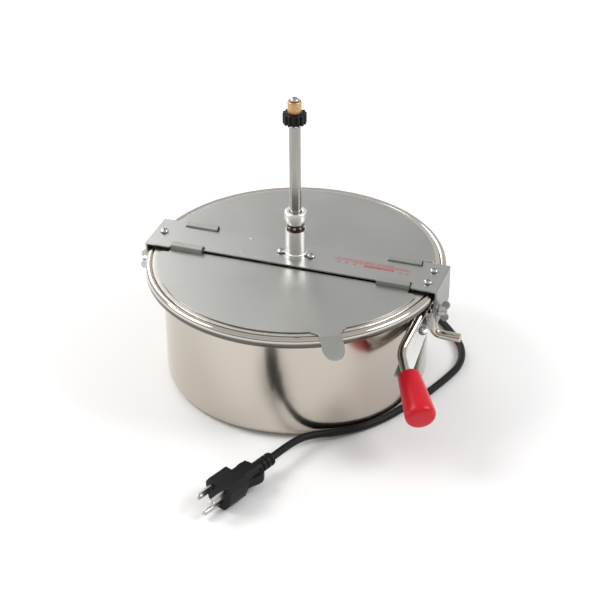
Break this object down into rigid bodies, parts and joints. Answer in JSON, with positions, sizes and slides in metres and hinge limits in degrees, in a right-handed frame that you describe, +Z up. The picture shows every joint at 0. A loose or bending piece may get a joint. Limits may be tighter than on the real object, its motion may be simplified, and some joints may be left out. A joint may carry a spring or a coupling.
{
  "type": "popcorn maker",
  "caption": "Electric popcorn kettle: steel drum and pan, hinged half-round lids on a crossbar, geared stirrer shaft, side handle and mains lead.",
  "frame": {"origin": "middle of the base on the surface the kettle stands on", "axes": "+X along the crossbar towards the handle side, -Y towards the lid with the tab, +Z up"},
  "size_m": [0.2893, 0.4068, 0.2549],
  "materials": {
    "brushed_steel": "fine brushed stainless steel",
    "polished_steel": "polished stainless steel",
    "chrome": "bright plated",
    "zinc": "zinc plated",
    "aluminium": "turned",
    "brass": "turned",
    "dark_steel": "dark oxide",
    "black_plastic": "moulded, slightly rough",
    "red_plastic": "moulded, semi gloss",
    "mineral_fibre": "pressed fibre",
    "ceramic": "unglazed ceramic"
  },
  "bodies": {
    "kettle": {"base_cover": "brushed_steel", "base_post_1": "zinc", "base_post_2": "zinc", "base_post_3": "zinc", "base_screw_1": "zinc", "base_screw_2": "zinc", "base_screw_3": "zinc", "bearing_housing": "aluminium", "cooking_bowl": "polished_steel", "cord_gland": "black_plastic", "crossbar": "brushed_steel", "crossbar_screw_left": "zinc", "crossbar_screw_right_front": "zinc", "crossbar_screw_right_rear": "zinc", "flange_bolt_left": "zinc", "flange_bolt_right": "zinc", "handle_boss": "zinc", "handle_grip": "red_plastic", "handle_rod": "chrome", "handle_screw": "zinc", "handle_strap": "brushed_steel", "heater_clamp_plate": "zinc", "heating_ring": "dark_steel", "housing_screw_left": "zinc", "housing_screw_right": "zinc", "insulation_pad": "mineral_fibre", "outer_drum": "polished_steel", "plug_blade_left": "brass", "plug_blade_right": "brass", "plug_body": "black_plastic", "plug_ground_pin": "brass", "power_cord": "black_plastic", "rest_pad_left": "zinc", "rest_pad_right": "zinc", "rim_ring": "polished_steel", "rod_pad": "zinc", "side_bracket_left": "brushed_steel", "side_bracket_right": "brushed_steel", "terminal_block": "ceramic", "thermal_fuse": "zinc", "thermostat": "ceramic", "thrust_bearing": "dark_steel"},
    "lid_front": {"lid_front": "brushed_steel"},
    "lid_rear": {"lid_rear": "brushed_steel"},
    "stirrer": {"stirrer_shaft": "polished_steel", "shaft_collar": "polished_steel", "collar_set_screw": "dark_steel", "gear_washer": "zinc", "drive_gear": "black_plastic", "gear_bush": "brass", "top_screw": "zinc", "stirrer_blade": "brushed_steel", "blade_pin": "zinc"},
    "wing_nut_left": {"wing_nut_left": "zinc"},
    "wing_nut_right": {"wing_nut_right": "zinc"}
  },
  "joints": [
    {"name": "lid_front_hinge", "type": "hinge", "parent": "kettle", "child": "lid_front", "pos_m": [0, -0.018, 0.1085], "axis": [-1, 0, 0], "range_deg": [0, 95]},
    {"name": "lid_rear_hinge", "type": "hinge", "parent": "kettle", "child": "lid_rear", "pos_m": [0, 0.018, 0.1085], "axis": [1, 0, 0], "range_deg": [0, 95]},
    {"name": "stirrer_spin", "type": "hinge", "parent": "kettle", "child": "stirrer", "pos_m": [0, 0, 0.15], "axis": [0, 0, 1], "continuous": true},
    {"name": "wing_nut_left_turn", "type": "hinge", "parent": "kettle", "child": "wing_nut_left", "pos_m": [-0.1315, -0.012, 0.0865], "axis": [-1, 0, 0], "continuous": true},
    {"name": "wing_nut_right_turn", "type": "hinge", "parent": "kettle", "child": "wing_nut_right", "pos_m": [0.1315, -0.012, 0.0865], "axis": [1, 0, 0], "continuous": true}
  ]
}
